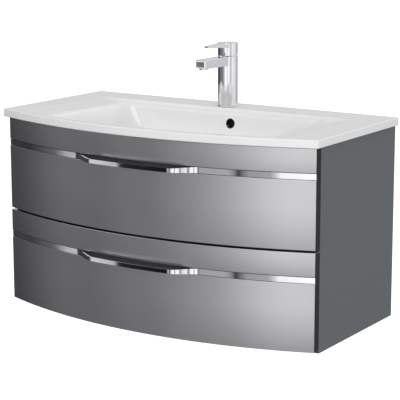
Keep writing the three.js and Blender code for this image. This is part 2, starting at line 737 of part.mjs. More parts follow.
function addTrap() {
  const levelZ = wasteEnd - 10 - bend;
  const quarter = (cy, cz, from, to) =>
    Array.from({ length: 5 }, (_, i) => {
      const angle = THREE.MathUtils.degToRad(from + ((to - from) * i) / 4);
      return [cy + bend * Math.cos(angle), cz + bend * Math.sin(angle)];
    });
  const route = [
    [drainY, wasteEnd + 10], [drainY, wasteEnd + 4],
    ...quarter(drainY + bend, levelZ + bend, 180, 270),
    ...quarter(trapY - bend, levelZ - bend, 90, 0),
    [trapY, trapBottom + 24],
  ];
  piece("trap_inlet_pipe", "plastic", pipe(route, pipeRadius, pipeWall, 26));

  const nutTop = wasteEnd + 8;
  const nut = ring(wasteRadius + 5, wasteRadius + 0.4, wasteEnd - 8, nutTop, 0, drainY, 12);
  const nutFloor = ring(wasteRadius + 3, pipeRadius + fitGap, wasteEnd - 8, wasteEnd - 4, 0, drainY);
  piece("trap_inlet_nut", "greyPlastic", join(nut, nutFloor));

  const rimTop = outletZ + 22;
  const cup = bar(trapRadius, trapBottom, rimTop, 0, trapY);
  const stub = bar(pipeRadius + 4, trapY, trapY + trapRadius + 16, 0, outletZ, "y");
  const hollow = bar(trapRadius - 2.5, trapBottom + 2.5, rimTop + 1, 0, trapY);
  const socket = bar(pipeRadius + fitGap, trapY, trapY + trapRadius + 17, 0, outletZ, "y");
  piece("trap_cup", "plastic", join(cup, stub).subtract(hollow).subtract(socket));

  const lid = ring(trapRadius + 3, pipeRadius + fitGap, rimTop + seam, rimTop + 6, 0, trapY, 12);
  piece("trap_cup_nut", "greyPlastic", lid);

  const start = trapY + trapRadius + 2;
  const outlet = bar(pipeRadius, start, 0, 0, outletZ, "y");
  const bore = bar(pipeRadius - pipeWall, start - 1, 1, 0, outletZ, "y");
  piece("trap_outlet_pipe", "plastic", outlet.subtract(bore));

  const opening = bar(pipeRadius + fitGap, -8, 1, 0, outletZ, "y");
  piece("wall_rosette", "plastic", bar(38, -7, 0, 0, outletZ, "y", 40).subtract(opening));
}

addCarcass();
addHangers();
addRunners("upper", (upperLow + upperHigh) / 2);
addRunners("lower", (lowerLow + lowerHigh) / 2);
addUpperDrawer();
addLowerDrawer();
addBasin();
addTapBody();
addTapFixing();
addTapLever();
addWaste();
addTrap();

const model = new THREE.Group();
model.add(vanity);
export default model;
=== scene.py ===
import json
import math
import bpy
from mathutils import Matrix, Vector


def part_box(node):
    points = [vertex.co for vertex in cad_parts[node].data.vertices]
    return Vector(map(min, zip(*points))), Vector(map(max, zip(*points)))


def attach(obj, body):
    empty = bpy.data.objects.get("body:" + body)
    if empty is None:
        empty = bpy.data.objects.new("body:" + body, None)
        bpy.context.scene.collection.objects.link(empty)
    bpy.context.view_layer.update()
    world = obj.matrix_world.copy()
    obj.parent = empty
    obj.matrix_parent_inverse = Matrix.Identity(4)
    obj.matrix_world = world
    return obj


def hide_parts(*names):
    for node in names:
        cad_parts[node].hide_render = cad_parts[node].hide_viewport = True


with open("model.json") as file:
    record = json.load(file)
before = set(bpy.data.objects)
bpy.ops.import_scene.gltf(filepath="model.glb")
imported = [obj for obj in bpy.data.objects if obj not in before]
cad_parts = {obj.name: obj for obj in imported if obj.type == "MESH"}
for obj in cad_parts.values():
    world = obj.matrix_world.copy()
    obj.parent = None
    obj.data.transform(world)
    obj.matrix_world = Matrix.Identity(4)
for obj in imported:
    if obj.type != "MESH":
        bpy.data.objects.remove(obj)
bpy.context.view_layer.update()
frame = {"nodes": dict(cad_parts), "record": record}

record = frame["record"]
bodyOf = {n: body for body, names in record["behaviour"]["bodies"].items() for n in names}
slotOf = {row["node"]: row["material_slot"] for row in record["subparts"]}
scene = bpy.context.scene
print("frame loaded:", len(frame["nodes"]), "nodes")


cameraSettings = {
    "place": (2.03929, -3.30134, 0.61721),
    "turn": 32.818,  # degrees to the left of +Y
    "tilt": 10.834,  # degrees below the horizon
    "lens": 133.894,
    "shift": (-0.03, -0.06),
}


def makeCamera(s):
    data = bpy.data.cameras.new("camera")
    data.lens = s["lens"]
    data.shift_x, data.shift_y = s["shift"]
    obj = bpy.data.objects.new("camera", data)
    scene.collection.objects.link(obj)
    obj.location = s["place"]
    obj.rotation_euler = (math.radians(90 - s["tilt"]), 0, math.radians(s["turn"]))
    scene.camera = obj


roomSettings = {
    "floorDrop": 0.85,  # basin's top above the floor, as such a cabinet is hung
    "floorSize": 60,
    "floorColour": (0.90, 0.90, 0.90, 1),
    "floorRough": 0.9,
    "floorGlow": 0.62,
    "backdrop": 1.0,
    "topLight": 0.57,
    "darkTint": 0.06,  # how much bluer the dark stretches of the wall are
    # Azimuth in degrees from the front, right is positive: brightness of the studio wall, and how
    # much of it is lost towards the floor.
    "wall": [
        (-180, 0.30, 0.2), (-160, 0.36, 0.2), (-147, 0.46, 0.2), (-122, 0.05, 0.0), (-84, 0.045, 0.0),
        (-73, 0.12, 0.0), (-62, 0.23, 0.0), (-54, 0.17, 0.0), (-46, 0.17, 0.0), (-38, 0.30, 0.0),
        (-31, 0.15, 0.0), (-24, 0.38, 0.2), (-17, 0.40, 0.5), (-9, 0.56, 0.9), (-1, 0.94, 1.0),
        (5, 1.28, 1.0), (13, 1.30, 1.0), (21, 0.74, 0.9), (33, 1.03, 0.9), (45, 1.20, 0.9),
        (57, 0.80, 0.8), (69, 0.48, 0.6), (81, 1.00, 0.4), (110, 0.88, 0.3), (150, 0.66, 0.3),
        (166, 0.30, 0.2),
    ],
    "wallFall": (-0.265, -0.58),  # sines of the heights where the loss starts and ends
    "mostLost": 0.88,
    # The strip of white and black cards above the horizon, which the handles mirror: azimuth and
    # brightness.
    "cards": [
        (-180, 0.66), (-128, 0.62), (-108, 0.10), (-74, 0.04), (-64, 0.12),
        (-55, 0.62), (-47, 0.72), (-39, 0.56), (-37.8, 0.02), (-22, 0.01),
        (-18, 0.40), (-8, 0.46), (-5.4, 0.04), (-3.2, 0.38), (3, 0.45),
        (6, 1.15), (15, 1.25), (17.5, 0.10), (20, 1.20), (27, 1.10),
        (29, 0.10), (31, 1.10), (60, 0.90), (150, 0.95),
    ],
    "cardsLow": (-0.07, 0.03),  # sines of the heights where the cards begin and give way to the ceiling
    "cardsHigh": (0.34, 0.55),
    "lightsAim": (0, -0.2, -0.1),
    "softboxes": [
        {"name": "keySoftbox", "place": (0.7, -3.6, 2.9), "size": 2.4, "power": 45},
        {"name": "fillSoftbox", "place": (-2.4, -2.8, 1.8), "size": 2.0, "power": 15},
        {"name": "edgeSoftbox", "place": (1.85, -3.4, 0.1), "size": 2.0, "power": 24, "mirrored": False},
        {"name": "backSoftbox", "place": (0.8, 2.4, 2.6), "size": 2.0, "power": 12},
    ],
}


def makeFloor(s):
    bpy.ops.mesh.primitive_plane_add(size=s["floorSize"])
    floor = bpy.context.object
    floor.name = "floor"
    floor.location.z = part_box("basin")[1].z - s["floorDrop"]
    material = bpy.data.materials.new("paleFloor")
    material.use_nodes = True
    shader = material.node_tree.nodes["Principled BSDF"]
    shader.inputs["Base Color"].default_value = s["floorColour"]
    shader.inputs["Roughness"].default_value = s["floorRough"]
    shader.inputs["Emission Color"].default_value = (1, 1, 1, 1)
    shader.inputs["Emission Strength"].default_value = s["floorGlow"]
    floor.data.materials.append(material)
    floor.visible_glossy = False
    floor.visible_diffuse = False


# Brightness all round the room, dark stretches a little bluer; Alpha holds each stop's third value.
def addWallRamp(tree, share, stops, tint):
    ramp = tree.nodes.new("ShaderNodeValToRGB")
    ramp.color_ramp.interpolation = "EASE"
    elements = ramp.color_ramp.elements
    for i, (azimuth, value, *loss) in enumerate(stops):
        place = (azimuth + 180) / 360
        element = elements[i] if i < 2 else elements.new(place)
        element.position = place
        blue = value * (1 + tint * max(0, 1 - value))
        element.color = (value, value * (1 - tint / 10), blue, sum(loss))
    tree.links.new(share, ramp.inputs[0])
    return ramp


def addStep(tree, value, span, shape="SMOOTHSTEP", most=1):
    node = tree.nodes.new("ShaderNodeMapRange")
    node.interpolation_type = shape
    node.inputs["From Min"].default_value, node.inputs["From Max"].default_value = span
    node.inputs["To Max"].default_value = most
    tree.links.new(value, node.inputs["Value"])
    return node.outputs[0]


def addMix(tree, factor, first, second):
    mix = tree.nodes.new("ShaderNodeMix")
    mix.data_type = "RGBA"
    tree.links.new(factor, mix.inputs["Factor"])
    for socket, value in ((mix.inputs[6], first), (mix.inputs[7], second)):
        if isinstance(value, (int, float)):
            socket.default_value = (value, value, value, 1)
        else:
            tree.links.new(value, socket)
    return mix.outputs[2]


def makeStudio(s):
    scene.view_settings.view_transform = "Standard"
    world = bpy.data.worlds.new("studio")
    scene.world = world
    world.use_nodes = True
    tree = world.node_tree
    coords = tree.nodes.new("ShaderNodeTexCoord")
    split = tree.nodes.new("ShaderNodeSeparateXYZ")
    tree.links.new(coords.outputs["Generated"], split.inputs[0])
    height = split.outputs["Z"]
    angle = addMath(tree, "ARCTAN2", split.outputs["X"], addMath(tree, "MULTIPLY", split.outputs["Y"], -1))
    share = addMath(tree, "MULTIPLY_ADD", angle, 1 / (2 * math.pi), 0.5)
    wall = addWallRamp(tree, share, s["wall"], s["darkTint"])
    fall = addStep(tree, height, s["wallFall"], "LINEAR", s["mostLost"])
    loss = addMath(tree, "MULTIPLY", wall.outputs["Alpha"], fall)
    low = addMix(tree, loss, wall.outputs["Color"], 0)
    cards = addWallRamp(tree, share, s["cards"], s["darkTint"])
    around = addMix(tree, addStep(tree, height, s["cardsLow"]), low, cards.outputs["Color"])
    dome = addMix(tree, addStep(tree, height, s["cardsHigh"]), around, s["topLight"])
    path = tree.nodes.new("ShaderNodeLightPath")
    seen = addMix(tree, path.outputs["Is Camera Ray"], dome, s["backdrop"])
    tree.links.new(seen, tree.nodes["Background"].inputs["Color"])
    for box in s["softboxes"]:
        data = bpy.data.lights.new(box["name"], "AREA")
        data.size = box["size"]
        data.energy = box["power"]
        lamp = bpy.data.objects.new(box["name"], data)
        scene.collection.objects.link(lamp)
        lamp.location = box["place"]
        aim = Vector(s["lightsAim"]) - lamp.location
        lamp.rotation_euler = aim.to_track_quat("-Z", "Y").to_euler()
        lamp.visible_camera = False
        lamp.visible_glossy = box.get("mirrored", True)


def addMath(tree, operation, a, b=None, c=None):
    node = tree.nodes.new("ShaderNodeMath")
    node.operation = operation
    for socket, value in zip(node.inputs, (a, b, c)):
        if value is None:
            continue
        if isinstance(value, (int, float)):
            socket.default_value = value
        else:
            tree.links.new(value, socket)
    return node.outputs[0]


patternSettings = {
    "span": (0.3, 0.7),  # the part of a noise's range that is used
    "grainShare": 0.45,
    "broadDetail": 4,
    "streakStretch": (0.04, 1, 1),
}


def addNoise(tree, scale, detail=3, stretch=(1, 1, 1)):
    coords = tree.nodes.new("ShaderNodeTexCoord")
    mapping = tree.nodes.new("ShaderNodeMapping")
    mapping.inputs["Scale"].default_value = stretch
    noise = tree.nodes.new("ShaderNodeTexNoise")
    noise.inputs["Scale"].default_value = scale
    noise.inputs["Detail"].default_value = detail
    tree.links.new(coords.outputs["Object"], mapping.inputs["Vector"])
    tree.links.new(mapping.outputs["Vector"], noise.inputs["Vector"])
    return noise.outputs[0]


def addCells(tree, scale):
    coords = tree.nodes.new("ShaderNodeTexCoord")
    cells = tree.nodes.new("ShaderNodeTexVoronoi")
    cells.inputs["Scale"].default_value = scale
    tree.links.new(coords.outputs["Object"], cells.inputs["Vector"])
    return cells.outputs["Color"]


def addRange(tree, value, low, high):
    node = tree.nodes.new("ShaderNodeMapRange")
    tree.links.new(value, node.inputs["Value"])
    node.inputs["From Min"].default_value, node.inputs["From Max"].default_value = patternSettings["span"]
    node.inputs["To Min"].default_value = low
    node.inputs["To Max"].default_value = high
    return node.outputs[0]


def addBlend(tree, factor, dark, light):
    ramp = tree.nodes.new("ShaderNodeValToRGB")
    for element, place, colour in zip(ramp.color_ramp.elements, patternSettings["span"], (dark, light)):
        element.position = place
        element.color = (*colour, 1)
    tree.links.new(factor, ramp.inputs[0])
    return ramp.outputs["Color"]


finishSettings = {
    "metallicFront": {
        "colours": ((0.578, 0.574, 0.590), (0.652, 0.648, 0.662)), "metal": 1.0,
        "rough": (0.27, 0.31), "pattern": ("cells", 2600), "patch": 5, "bump": (0.02, 0.00002),
        "coat": (0.35, 0.04), "crown": 0.0963,
    },
    # Near-black: partly the front's own dark edge band, partly painted shade for the shadow in the gap
    # beside the front.
    "edgeBand": {
        "colours": ((0.009, 0.010, 0.011), (0.014, 0.015, 0.016)), "rough": (0.50, 0.60),
        "pattern": ("noise", 900), "patch": 12, "bump": (0.12, 0.00006), "specular": 0.25,
    },
    # Near-black: painted shade for the shadow in the groove behind the grip.
    "grooveFoil": {
        "colours": ((0.036, 0.036, 0.038), (0.046, 0.046, 0.049)), "rough": (0.40, 0.50),
        "pattern": ("noise", 900), "patch": 12, "bump": (0.10, 0.00005), "specular": 0.3,
    },
    "carcassBoard": {
        "colours": ((0.096, 0.111, 0.118), (0.112, 0.127, 0.134)), "rough": (0.42, 0.54),
        "pattern": ("noise", 1500), "patch": 7, "bump": (0.22, 0.00008),
    },
    "drawerBoard": {
        "colours": ((0.145, 0.155, 0.162), (0.175, 0.184, 0.190)), "rough": (0.46, 0.58),
        "pattern": ("streak", 260), "patch": 9, "bump": (0.25, 0.0001),
    },
    "handleChrome": {
        "colours": ((0.76, 0.77, 0.78), (0.84, 0.85, 0.86)), "metal": 1.0, "rough": (0.025, 0.05),
        "pattern": ("streak", 700), "patch": 14, "bump": (0.015, 0.00002), "lean": 0.21,
    },
    "tapChrome": {
        "colours": ((0.80, 0.81, 0.82), (0.87, 0.88, 0.89)), "metal": 1.0, "rough": (0.03, 0.06),
        "pattern": ("noise", 480), "patch": 26, "bump": (0.01, 0.00002),
    },
    "basinWhite": {
        "colours": ((0.845, 0.845, 0.842), (0.870, 0.870, 0.867)), "rough": (0.15, 0.21),
        "pattern": ("noise", 130), "patch": 3, "bump": (0.02, 0.00005), "coat": (0.25, 0.08),
    },
    "zincSteel": {
        "colours": ((0.50, 0.51, 0.53), (0.70, 0.71, 0.72)), "metal": 1.0, "rough": (0.28, 0.42),
        "pattern": ("cells", 420), "patch": 30, "bump": (0.08, 0.00004),
    },
    "brass": {
        "colours": ((0.62, 0.47, 0.24), (0.75, 0.60, 0.33)), "metal": 1.0, "rough": (0.22, 0.34),
        "pattern": ("noise", 1400), "patch": 40, "bump": (0.08, 0.00003),
    },
    "whitePlastic": {
        "colours": ((0.74, 0.74, 0.72), (0.80, 0.80, 0.78)), "rough": (0.30, 0.40),
        "pattern": ("noise", 900), "patch": 18, "bump": (0.12, 0.00006),
    },
    "greyPlastic": {
        "colours": ((0.085, 0.088, 0.092), (0.110, 0.113, 0.118)), "rough": (0.38, 0.50),
        "pattern": ("noise", 1100), "patch": 16, "bump": (0.20, 0.00008),
    },
    "blackRubber": {
        "colours": ((0.012, 0.012, 0.012), (0.022, 0.022, 0.022)), "rough": (0.62, 0.78),
        "pattern": ("noise", 1300), "patch": 30, "bump": (0.25, 0.0001),
    },
    "clearPlastic": {
        "colours": ((0.62, 0.63, 0.62), (0.70, 0.71, 0.70)), "rough": (0.18, 0.26),
        "pattern": ("noise", 600), "patch": 60, "bump": (0.08, 0.00004),
    },
    # Near-black: painted shade for the dark inside of the overflow's duct.
    "ductShade": {
        "colours": ((0.006, 0.006, 0.006), (0.012, 0.012, 0.012)), "rough": (0.60, 0.75),
        "pattern": ("noise", 700), "patch": 30, "bump": (0.10, 0.00006),
    },
}
finishOfSlot = {
    "metallic_front": "metallicFront", "carcass_board": "carcassBoard", "drawer_board": "drawerBoard",
    "handle_chrome": "handleChrome", "tap_chrome": "tapChrome", "basin_white": "basinWhite",
    "zinc_steel": "zincSteel", "brass": "brass", "white_plastic": "whitePlastic",
    "grey_plastic": "greyPlastic", "black_rubber": "blackRubber",
}


# Drops below a front's top, and the pitch from one front to the next.
frontProfile = {"pitch": 0.2421, "band": 0.065, "bandLong": 0.057, "flatTo": 0.1304, "mainEnd": 0.2369}


def addSquare(tree, value, factor):
    return addMath(tree, "MULTIPLY", addMath(tree, "MULTIPLY", value, value), factor)


def addObjectHeight(tree):
    coords = tree.nodes.new("ShaderNodeTexCoord")
    split = tree.nodes.new("ShaderNodeSeparateXYZ")
    tree.links.new(coords.outputs["Object"], split.inputs[0])
    return split.outputs["Z"]


# Each part of a front is crowned a little towards its lower edge.
def addCrown(tree, slope):
    p = frontProfile
    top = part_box("upper_front")[1].z
    drop = addMath(tree, "MULTIPLY_ADD", addObjectHeight(tree), -1, top + p["pitch"])
    drop = addMath(tree, "MODULO", drop, p["pitch"])
    inBand = addMath(tree, "LESS_THAN", drop, p["band"])
    bandPart = addSquare(tree, drop, -slope / (2 * p["bandLong"]))
    lower = addMath(tree, "MAXIMUM", addMath(tree, "SUBTRACT", drop, p["flatTo"]), 0)
    mainPart = addSquare(tree, lower, -slope / (2 * (p["mainEnd"] - p["flatTo"])))
    return addMath(tree, "MULTIPLY_ADD", bandPart, inBand, mainPart)


# The handle's face leans back a little.
def addLean(tree, slope):
    return addMath(tree, "MULTIPLY", addObjectHeight(tree), -slope)


def makeFinish(name, s):
    material = bpy.data.materials.new(name)
    material.use_nodes = True
    tree = material.node_tree
    shader = tree.nodes["Principled BSDF"]
    p = patternSettings
    kind, scale = s["pattern"]
    if kind == "cells":
        fine = addCells(tree, scale)
    elif kind == "streak":
        fine = addNoise(tree, scale, p["broadDetail"], p["streakStretch"])
    else:
        fine = addNoise(tree, scale)
    broad = addNoise(tree, s["patch"], p["broadDetail"])
    rest = addMath(tree, "MULTIPLY", broad, 1 - p["grainShare"])
    both = addMath(tree, "MULTIPLY_ADD", fine, p["grainShare"], rest)
    tree.links.new(addBlend(tree, both, *s["colours"]), shader.inputs["Base Color"])
    tree.links.new(addRange(tree, broad, *s["rough"]), shader.inputs["Roughness"])
    shader.inputs["Metallic"].default_value = s.get("metal", 0)
    shader.inputs["Specular IOR Level"].default_value = s.get("specular", 0.5)
    bump = tree.nodes.new("ShaderNodeBump")
    bump.inputs["Strength"].default_value, bump.inputs["Distance"].default_value = s["bump"]
    tree.links.new(fine, bump.inputs["Height"])
    tree.links.new(bump.outputs["Normal"], shader.inputs["Normal"])
    for shape, addShape in (("crown", addCrown), ("lean", addLean)):
        if shape in s:
            form = tree.nodes.new("ShaderNodeBump")
            form.inputs["Strength"].default_value = form.inputs["Distance"].default_value = 1
            tree.links.new(addShape(tree, s[shape]), form.inputs["Height"])
            tree.links.new(form.outputs["Normal"], bump.inputs["Normal"])
            tree.links.new(form.outputs["Normal"], shader.inputs["Coat Normal"])
    if "coat" in s:
        weight, rough = s["coat"]
        shader.inputs["Coat Weight"].default_value = weight
        shader.inputs["Coat Roughness"].default_value = rough
    return material


# Distances in metres and an angle in degrees: corners this close are one, faces this flat are one,
# the slack of a test for a corner's place, and how far a cutting tool stands out.
meshSettings = {"mergeWithin": 0.00001, "flatWithin": 0.4, "slack": 0.001, "past": 0.01}
slack = meshSettings["slack"]
past = meshSettings["past"]


def deselectAll():
    if bpy.context.mode != "OBJECT":
        bpy.ops.object.mode_set(mode="OBJECT")
    bpy.ops.object.select_all(action="DESELECT")


def makeActive(obj):
    deselectAll()
    obj.select_set(True)
    bpy.context.view_layer.objects.active = obj


def editAll(obj):
    makeActive(obj)
    bpy.ops.object.mode_set(mode="EDIT")
    bpy.ops.mesh.select_all(action="SELECT")


def editNone(obj):
    editAll(obj)
    bpy.ops.mesh.select_all(action="DESELECT")


def faceOutward(obj):
    editAll(obj)
    bpy.ops.mesh.normals_make_consistent(inside=False)
    bpy.ops.object.mode_set(mode="OBJECT")


def applyModifier(obj, kind, **values):
    makeActive(obj)
    modifier = obj.modifiers.new(kind.lower(), kind)
    for key, value in values.items():
        setattr(modifier, key, value)
    bpy.ops.object.modifier_apply(modifier=modifier.name)


def settle(obj):
    makeActive(obj)
    bpy.ops.object.transform_apply(location=True, rotation=True, scale=True)


def softEdges(obj, width, segments=2, angle=35):
    if width:
        applyModifier(
            obj, "BEVEL", width=width, segments=segments, limit_method="ANGLE",
            angle_limit=math.radians(angle), use_clamp_overlap=True, harden_normals=False,
        )
    makeActive(obj)
    bpy.ops.object.shade_smooth_by_angle(angle=math.radians(angle))
    applyModifier(obj, "WEIGHTED_NORMAL", keep_sharp=True, weight=90)


def cut(obj, tool, operation="DIFFERENCE"):
    applyModifier(obj, "BOOLEAN", object=tool, operation=operation, solver="EXACT")
    bpy.data.objects.remove(tool)


# The radius of an arc that rises by bow over twice half.
def arcRadius(half, bow):
    return (half * half + bow * bow) / (2 * bow)


def camel(node):
    first, *rest = node.split("_")
    return first + "".join(word.capitalize() for word in rest)


def finishPiece(obj, name, body, materials, nodes=()):
    obj.name = name
    obj.data.name = name
    if not obj.data.materials:
        for material in materials:
            obj.data.materials.append(finishes[material])
    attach(obj, body)
    if nodes:
        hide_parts(*nodes)
    return obj


# A node's merged copy with its flat faces joined; reshape moves its corners first.
def copyOfNode(node, reshape=None):
    obj = bpy.data.objects.new(camel(node), frame["nodes"][node].data.copy())
    scene.collection.objects.link(obj)
    obj.data.materials.clear()
    editAll(obj)
    bpy.ops.mesh.remove_doubles(threshold=meshSettings["mergeWithin"])
    if reshape:
        bpy.ops.object.mode_set(mode="OBJECT")
        reshape(obj.data.vertices)
        editAll(obj)
    bpy.ops.mesh.dissolve_limited(angle_limit=math.radians(meshSettings["flatWithin"]))
    bpy.ops.object.mode_set(mode="OBJECT")
    return obj


def refineNode(node, width, segments=2, angle=35):
    obj = copyOfNode(node)
    softEdges(obj, width, segments, angle)
    return finishPiece(obj, camel(node), bodyOf[node], [finishOfSlot[slotOf[node]]], [node])


def addDrum(radius, low, high, axis="Z", centre=(0, 0), sides=96):
    bpy.ops.mesh.primitive_cylinder_add(vertices=sides, radius=radius, depth=high - low)
    obj = bpy.context.object
    middle = (low + high) / 2
    if axis == "Z":
        obj.location = (centre[0], centre[1], middle)
    elif axis == "Y":
        obj.rotation_euler = (math.radians(90), 0, 0)
        obj.location = (centre[0], middle, centre[1])
    else:
        obj.rotation_euler = (0, math.radians(90), 0)
        obj.location = (middle, centre[0], centre[1])
    settle(obj)
    return obj


# Where the upright axis of a round node stands.
def roundAxis(node):
    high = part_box(node)[1]
    return (0, high.y - high.x)


def addBox(low, high):
    bpy.ops.mesh.primitive_cube_add(size=1)
    obj = bpy.context.object
    obj.scale = [b - a for a, b in zip(low, high)]
    obj.location = [(a + b) / 2 for a, b in zip(low, high)]
    settle(obj)
    return obj


# A closed skin through rings of points: a grid is bent round so that each row is one ring.
def skinRings(rings, joined=False):
    count = len(rings[0])
    rows = rings + [rings[0]] if joined else rings
    bpy.ops.mesh.primitive_grid_add(x_subdivisions=count, y_subdivisions=len(rows) - 1, size=1)
    obj = bpy.context.object
    for j, ring in enumerate(rows):
        for i in range(count + 1):
            obj.data.vertices[j * (count + 1) + i].co = ring[i % count]
    editAll(obj)
    bpy.ops.mesh.remove_doubles(threshold=meshSettings["mergeWithin"] / 2)
    bpy.ops.mesh.normals_make_consistent(inside=False)
    bpy.ops.object.mode_set(mode="OBJECT")
    return obj


makeCamera(cameraSettings)
makeFloor(roomSettings)
makeStudio(roomSettings)
finishes = {name: makeFinish(name, s) for name, s in finishSettings.items()}
print("camera, studio and", len(finishes), "finishes made")


edgeWidths = {
    "carcass_board": 0.0005, "drawer_board": 0.0004, "zinc_steel": 0.00025, "brass": 0.0004,
    "white_plastic": 0.0006, "grey_plastic": 0.0006, "black_rubber": 0.0004, "tap_chrome": 0.0005,
}
builtAnew = {
    "upper_front", "lower_front", "upper_handle", "lower_handle", "basin", "tap_body", "tap_lever",
    "tap_base_ring", "waste_plug",
}
for node in frame["nodes"]:
    if node not in builtAnew:
        refineNode(node, edgeWidths[slotOf[node]])
print("boards, runners and fittings refined")


frontSettings = {
    "edge": 0.0009,
    "bow": 0.0864,
    "endBand": 0.0008,
    "endFacing": 0.75,  # a face turned this far sideways is an end, and this far back is the back
    "backFacing": 0.5,
    "groove": (0.0572, 0.0728),  # drops below the front's top where the groove starts and ends
    "grooveFrom": 0.0011,  # what lies deeper behind the face is groove
    "finishes": ("metallicFront", "edgeBand", "carcassBoard", "grooveFoil"),
}


def makeFront(level, s):
    node = level + "_front"
    obj = copyOfNode(node)
    softEdges(obj, s["edge"], segments=3)
    for name in s["finishes"]:
        obj.data.materials.append(finishes[name])
    low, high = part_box(node)
    radius = arcRadius(high.x, s["bow"])
    grooveTop, grooveEnd = s["groove"]
    for face in obj.data.polygons:
        x, y, z = face.center
        depth = y - low.y - radius + math.sqrt(radius * radius - x * x)
        # End faces get the near-black edge finish, partly painted shade for the gap's shadow.
        if abs(face.normal.x) > s["endFacing"] and abs(x) > high.x - s["endBand"] - s["edge"]:
            face.material_index = 1
        # Faces deep in the groove get the near-black painted shade.
        elif grooveTop < high.z - z < grooveEnd and depth > s["grooveFrom"]:
            face.material_index = 3
        elif face.normal.y > s["backFacing"]:
            face.material_index = 2
    finishPiece(obj, camel(node), bodyOf[node], [], [node])


# The grip is lower than the strip at its sides: fully so within gripFull of the middle.
handleSettings = {"edge": 0.0008, "gripEnd": 0.178, "gripFull": 0.118, "gripDrop": 0.004}


def makeHandle(level, s):
    node = level + "_handle"
    low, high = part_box(node)

    def lowerGrip(vertices):
        for v in vertices:
            share = (s["gripEnd"] - abs(v.co.x)) / (s["gripEnd"] - s["gripFull"])
            share = min(max(share, 0), 1)
            if v.co.z > (low.z + high.z) / 2:
                v.co.z -= s["gripDrop"] * share * share * (3 - 2 * share)

    obj = copyOfNode(node, lowerGrip)
    softEdges(obj, s["edge"], segments=3, angle=28)
    finishPiece(obj, camel(node), bodyOf[node], ["handleChrome"], [node])


for level in ("upper", "lower"):
    makeFront(level, frontSettings)
    makeHandle(level, handleSettings)
print("fronts and handle strips made")


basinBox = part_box("basin")
basinTop = basinBox[1].z
basinSettings = {
    "edge": 0.020, "wall": 0.012, "rounding": 0.0025, "roundingSteps": 5, "rimInset": 0.006,
    "endY": -0.4134, "edgeCorner": 0.005, "leastCorner": 0.0004,
    "drain": (0, -0.255), "holeRadius": 0.023, "seatRadius": 0.033, "bossRadius": 0.040,
    "seatDepth": 0.0057, "seatTop": 0.0022,  # below the bowl's floor
    "lip": (0.001, 0.0019),  # outside the seat and below the floor
    "floorShares": (0.2, 0.45, 0.7, 0.88), "floorCurve": 1.5,
    "tapHole": 0.0175, "overflow": (0.033, 0.032), "overflowRadius": 0.013,
    "overflowY": (-0.135, -0.087), "ductHalf": 0.011, "ductWall": 0.005,
    "ductY": (-0.103, -0.080), "ductBoreY": (-0.094, -0.085),
    "ductTop": 0.019, "ductDrop": 0.031, "ductBoreTop": 0.012, "ductRoof": 0.005, "holeRoof": 0.004,
    "shadeY": (-0.1005, -0.0848), "shadeSides": 0.003, "shadeTop": 0.0135,
    "cornerSteps": 10, "sideSteps": 8, "frontSteps": 44, "backSteps": 32,
    "between": 5, "pull": 0.42,
}
# Levels of the bowl from its floor up: height under the rim, back wall, half width, extra width at
# the front, distance of the front wall behind the front edge, and radius of the corners.
bowlLevels = [
    (-0.104, -0.154, 0.225, 0.006, 0.122, 0.056),
    (-0.099, -0.138, 0.243, 0.008, 0.106, 0.058),
    (-0.090, -0.124, 0.257, 0.011, 0.093, 0.058),
    (-0.070, -0.112, 0.272, 0.014, 0.078, 0.052),
    (-0.046, -0.105, 0.283, 0.016, 0.066, 0.044),
    (-0.020, -0.1005, 0.296, 0.018, 0.053, 0.036),
    (-0.012, -0.0986, 0.3015, 0.019, 0.044, 0.032),
    (-0.007, -0.0980, 0.309, 0.020, 0.036, 0.028),
    (-0.0061, -0.0978, 0.319, 0.020, 0.034, 0.026),
    (-0.0006, -0.0963, 0.384, 0.001, 0.0206, 0.015),
    (0.0, -0.0950, 0.3895, 0.0, 0.0190, 0.014),
]


basinBow = arcRadius(basinBox[1].x, basinSettings["endY"] - basinBox[0].y)


def basinEdgeAt(x, inset):
    return basinBox[0].y + basinBow - math.sqrt((basinBow - inset) ** 2 - x * x)


# A level's outline from above, grown outwards by grow and lowered by drop.
def planRing(level, grow=0.0, drop=0.0):
    s = basinSettings
    z, back, half, splay, inset, corner = level
    radius = max(corner + grow, s["leastCorner"])
    backHalf = half + grow
    frontHalf = backHalf + splay
    backY = back + grow
    reach = frontHalf - radius
    tilt = math.asin(reach / basinBow)
    end = reach + radius * math.sin(tilt)
    points = []

    def arc(cx, cy, start, stop):
        for i in range(s["cornerSteps"] + 1):
            a = start + (stop - start) * i / s["cornerSteps"]
            points.append((cx + radius * math.cos(a), cy + radius * math.sin(a)))

    def straight(a, b, steps):
        for i in range(1, steps):
            t = i / steps
            points.append((a[0] + (b[0] - a[0]) * t, a[1] + (b[1] - a[1]) * t))

    quarter = math.pi / 2
    cornerX = end - radius * math.sin(tilt)
    cornerY = basinEdgeAt(end, inset - grow) + radius * math.cos(tilt)
    arc(-(backHalf - radius), backY - radius, quarter, 2 * quarter)
    straight(points[-1], (-cornerX - radius, cornerY), s["sideSteps"])
    arc(-cornerX, cornerY, 2 * quarter, 3 * quarter - tilt)
    for i in range(1, s["frontSteps"]):
        x = -end + 2 * end * i / s["frontSteps"]
        points.append((x, basinEdgeAt(x, inset - grow)))
    arc(cornerX, cornerY, 3 * quarter + tilt, 4 * quarter)
    straight(points[-1], (backHalf, backY - radius), s["sideSteps"])
    arc(backHalf - radius, backY - radius, 4 * quarter, 5 * quarter)
    straight(points[-1], points[0], s["backSteps"])
    return [Vector((x, y, basinTop + z - drop)) for x, y in points]


# A ring round the drain with one point for each point of another ring.
def roundRing(radius, z, like):
    cx, cy = basinSettings["drain"]
    ring = []
    for p in like:
        a = math.atan2(p.y - cy, p.x - cx)
        ring.append(Vector((cx + radius * math.cos(a), cy + radius * math.sin(a), z)))
    return ring


def mixRings(a, b, t, z):
    return [Vector((p.x + (q.x - p.x) * t, p.y + (q.y - p.y) * t, z)) for p, q in zip(a, b)]


